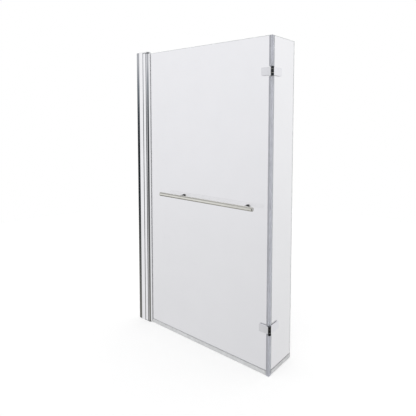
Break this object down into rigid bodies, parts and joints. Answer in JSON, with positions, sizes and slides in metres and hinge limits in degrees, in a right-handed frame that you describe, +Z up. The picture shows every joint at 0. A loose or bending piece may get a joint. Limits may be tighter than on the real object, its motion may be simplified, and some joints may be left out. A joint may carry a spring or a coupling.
{
  "type": "l-shaped bath screen",
  "caption": "L-shaped glass bath screen: wall post, main panel swinging on a pivot bar, outside towel rail, and a narrow return panel on corner hinges.",
  "frame": {"origin": "on the wall behind the middle of the wall post, at the height of the bath rim", "axes": "+X from the wall along the main panel, +Y into the bath, +Z up; the outside faces -Y and +X"},
  "size_m": [0.8098, 0.2255, 1.4039],
  "materials": {
    "post_chrome": "polished",
    "hinge_chrome": "polished",
    "rail_chrome": "polished",
    "mill_aluminium": "satin",
    "screw_steel": "machined",
    "glass": "polished, ground edges",
    "clear_seal": "clear flexible extrusion",
    "corner_seal": "translucent grey flexible extrusion",
    "soft_gasket": "soft matt",
    "nylon": "moulded"
  },
  "bodies": {
    "wall_post": {"wall_channel": "post_chrome", "adjusting_profile": "post_chrome", "pivot_wiper_seal": "soft_gasket", "profile_lock_screws": "screw_steel", "lock_screw_caps": "post_chrome", "post_top_cap": "post_chrome", "post_bottom_plug": "nylon", "top_pivot_bracket": "mill_aluminium", "bottom_pivot_bracket": "mill_aluminium", "top_pivot_pin": "screw_steel", "bottom_pivot_pin": "screw_steel", "pivot_bracket_screws": "screw_steel"},
    "main_screen": {"pivot_bar": "post_chrome", "pivot_bushes": "nylon", "glazing_gasket": "soft_gasket", "main_glass": "glass", "main_bottom_seal": "clear_seal", "corner_seal": "corner_seal", "towel_rail_tube": "rail_chrome", "rail_end_plugs": "rail_chrome", "rail_posts": "rail_chrome", "rail_grub_screws": "screw_steel", "rail_washers": "clear_seal", "rail_sleeves": "nylon", "rail_inner_caps": "rail_chrome", "rail_bolts": "screw_steel", "lower_hinge_main_leaf": "hinge_chrome", "lower_hinge_pin": "screw_steel", "lower_hinge_main_plate": "hinge_chrome", "lower_hinge_main_gaskets": "soft_gasket", "lower_hinge_main_screws": "screw_steel", "upper_hinge_main_leaf": "hinge_chrome", "upper_hinge_pin": "screw_steel", "upper_hinge_main_plate": "hinge_chrome", "upper_hinge_main_gaskets": "soft_gasket", "upper_hinge_main_screws": "screw_steel"},
    "return_screen": {"return_glass": "glass", "return_bottom_seal": "clear_seal", "lower_hinge_return_leaf": "hinge_chrome", "lower_hinge_bushes": "nylon", "lower_hinge_return_plate": "hinge_chrome", "lower_hinge_return_gaskets": "soft_gasket", "lower_hinge_return_screws": "screw_steel", "upper_hinge_return_leaf": "hinge_chrome", "upper_hinge_bushes": "nylon", "upper_hinge_return_plate": "hinge_chrome", "upper_hinge_return_gaskets": "soft_gasket", "upper_hinge_return_screws": "screw_steel"}
  },
  "joints": [
    {"name": "wall_pivot", "type": "hinge", "parent": "wall_post", "child": "main_screen", "pos_m": [0.074, 0, 0.7], "axis": [0, 0, -1], "range_deg": [0, 90]},
    {"name": "return_hinge", "type": "hinge", "parent": "main_screen", "child": "return_screen", "pos_m": [0.8033, -0.0063, 0.7], "axis": [0, 0, -1], "range_deg": [0, 90]}
  ]
}
